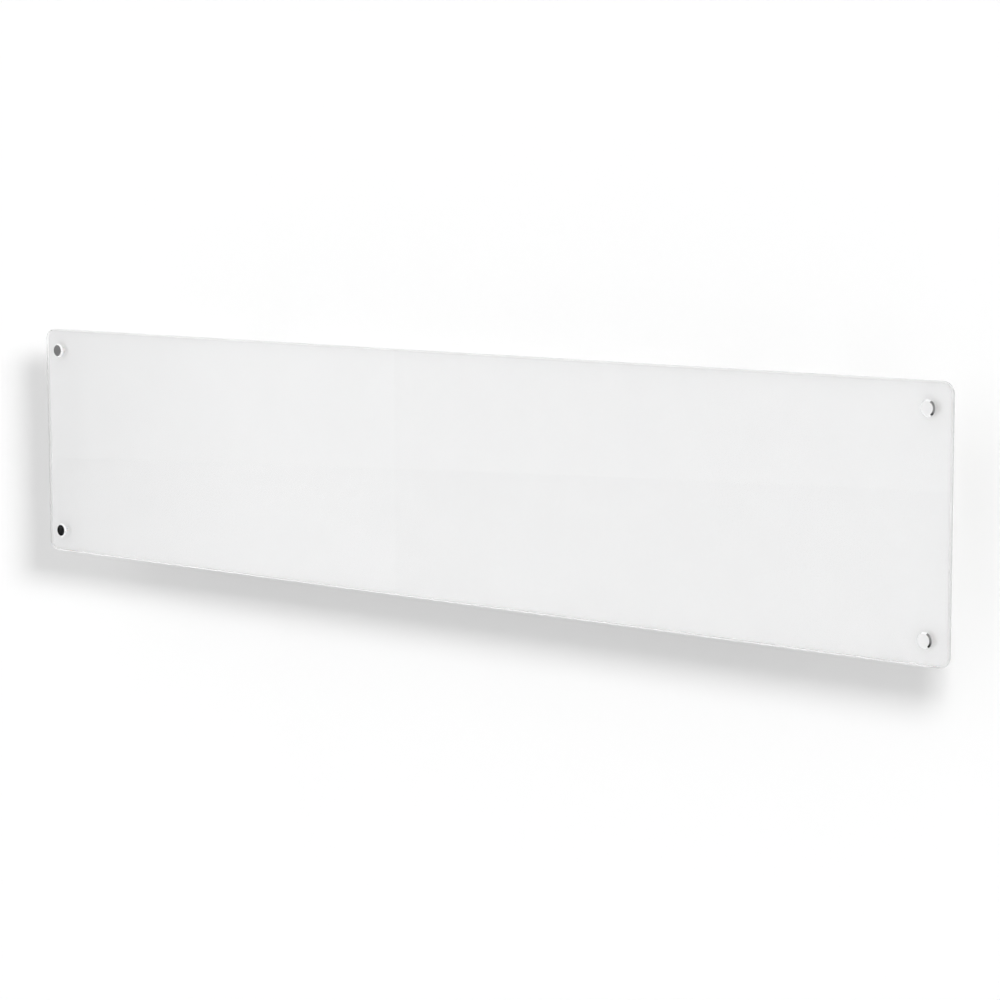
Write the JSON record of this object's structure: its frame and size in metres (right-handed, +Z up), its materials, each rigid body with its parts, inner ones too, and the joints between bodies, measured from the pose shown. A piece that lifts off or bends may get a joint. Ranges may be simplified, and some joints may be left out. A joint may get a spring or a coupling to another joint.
{
  "type": "glass panel heater",
  "caption": "Low, wide wall-hung convector heater with a white-backed glass front on chrome corner caps, a steel box with outlet grille and top controls, hung on a wall bracket.",
  "frame": {"origin": "on the wall plane, at the centre of the bracket's four wall screws, which is also the middle of the glass seen from the front", "axes": "+X to the right seen from the room, +Y into the wall so the glass faces -Y, +Z up"},
  "size_m": [1.2, 0.0798, 0.25],
  "materials": {
    "clear_glass": "polished toughened glass with ground edges",
    "white_enamel": "white enamel baked on glass",
    "chrome_plate": "bright chrome plate",
    "white_steel": "white powder coat, fine texture",
    "white_moulding": "white moulded plastic, fine spark texture",
    "grey_moulding": "grey moulded keys",
    "white_grille": "white powder coat",
    "black_moulding": "black moulded plastic",
    "rocker_plastic": "glossy black rocker",
    "smoked_window": "smoked clear plastic",
    "zinc_steel": "zinc-plated sheet steel",
    "plated_screws": "zinc-plated fasteners",
    "turned_aluminium": "turned aluminium",
    "bright_foil": "bright aluminised sheet",
    "anodised_fins": "dark heat-toned aluminium",
    "sheath_steel": "steel sheath",
    "white_ceramic": "unglazed ceramic",
    "clear_silicone": "translucent silicone",
    "natural_nylon": "natural nylon",
    "terminal_plastic": "ivory moulded plastic",
    "green_board": "green solder mask",
    "transformer_wrap": "yellow wrapped coil and core",
    "capacitor_sleeve": "dark shrink sleeve",
    "brown_insulation": "brown silicone insulation",
    "blue_insulation": "blue silicone insulation",
    "green_yellow_insulation": "green and yellow insulation"
  },
  "bodies": {
    "wall_bracket": {"wall_upright_left": "zinc_steel", "wall_upright_right": "zinc_steel", "wall_tie_rail": "zinc_steel", "tie_rail_rivets": "plated_screws"},
    "heater": {"front_glass": "clear_glass", "white_backing": "white_enamel", "corner_cap_top_left": "chrome_plate", "corner_cap_top_right": "chrome_plate", "corner_cap_bottom_left": "chrome_plate", "corner_cap_bottom_right": "chrome_plate", "front_plate": "white_steel", "rear_casing": "white_steel", "end_cap_left": "white_moulding", "end_cap_right": "white_moulding", "control_fascia": "white_moulding", "sensor_cup": "white_moulding", "cable_gland": "white_moulding", "gland_nut": "white_moulding", "outlet_grille": "white_grille", "rocker_housing": "black_moulding", "power_relay": "black_moulding", "display_module": "black_moulding", "tact_switches": "black_moulding", "thermal_cutout": "black_moulding", "room_sensor": "black_moulding", "display_window": "smoked_window", "element_hanger_left": "zinc_steel", "element_hanger_right": "zinc_steel", "control_bulkhead": "zinc_steel", "cap_screws": "plated_screws", "casing_screws": "plated_screws", "end_cap_screws": "plated_screws", "earth_screw": "plated_screws", "standoff_barrels": "turned_aluminium", "rear_heat_shield": "bright_foil", "heating_element": "anodised_fins", "heating_rod": "sheath_steel", "ceramic_bush_left": "white_ceramic", "ceramic_bush_right": "white_ceramic", "cap_washers": "clear_silicone", "wire_grommets": "clear_silicone", "glass_sleeves": "natural_nylon", "board_posts": "natural_nylon", "terminal_block": "terminal_plastic", "power_board": "green_board", "display_board": "green_board", "board_transformer": "transformer_wrap", "smoothing_capacitor": "capacitor_sleeve", "live_wire": "brown_insulation", "link_wire": "brown_insulation", "return_wire": "blue_insulation", "earth_wire": "green_yellow_insulation"},
    "rocker": {"power_rocker": "rocker_plastic"},
    "minus_key": {"button_minus": "grey_moulding"},
    "plus_key": {"button_plus": "grey_moulding"},
    "mode_key": {"button_mode": "grey_moulding"}
  },
  "joints": [
    {"name": "heater_lift", "type": "slide", "parent": "wall_bracket", "child": "heater", "axis": [0, 0, 1], "range_m": [0, 0.012]},
    {"name": "rocker_tilt", "type": "hinge", "parent": "heater", "child": "rocker", "pos_m": [0.549, -0.038, 0.02], "axis": [0, 1, 0], "range_deg": [-20, 0]},
    {"name": "minus_press", "type": "slide", "parent": "heater", "child": "minus_key", "axis": [0, 0, -1], "range_m": [0, 0.0008], "stiffness_N_per_m": 700, "springref_m": -0.0003},
    {"name": "plus_press", "type": "slide", "parent": "heater", "child": "plus_key", "axis": [0, 0, -1], "range_m": [0, 0.0008], "stiffness_N_per_m": 700, "springref_m": -0.0003},
    {"name": "mode_press", "type": "slide", "parent": "heater", "child": "mode_key", "axis": [0, 0, -1], "range_m": [0, 0.0008], "stiffness_N_per_m": 700, "springref_m": -0.0003}
  ]
}
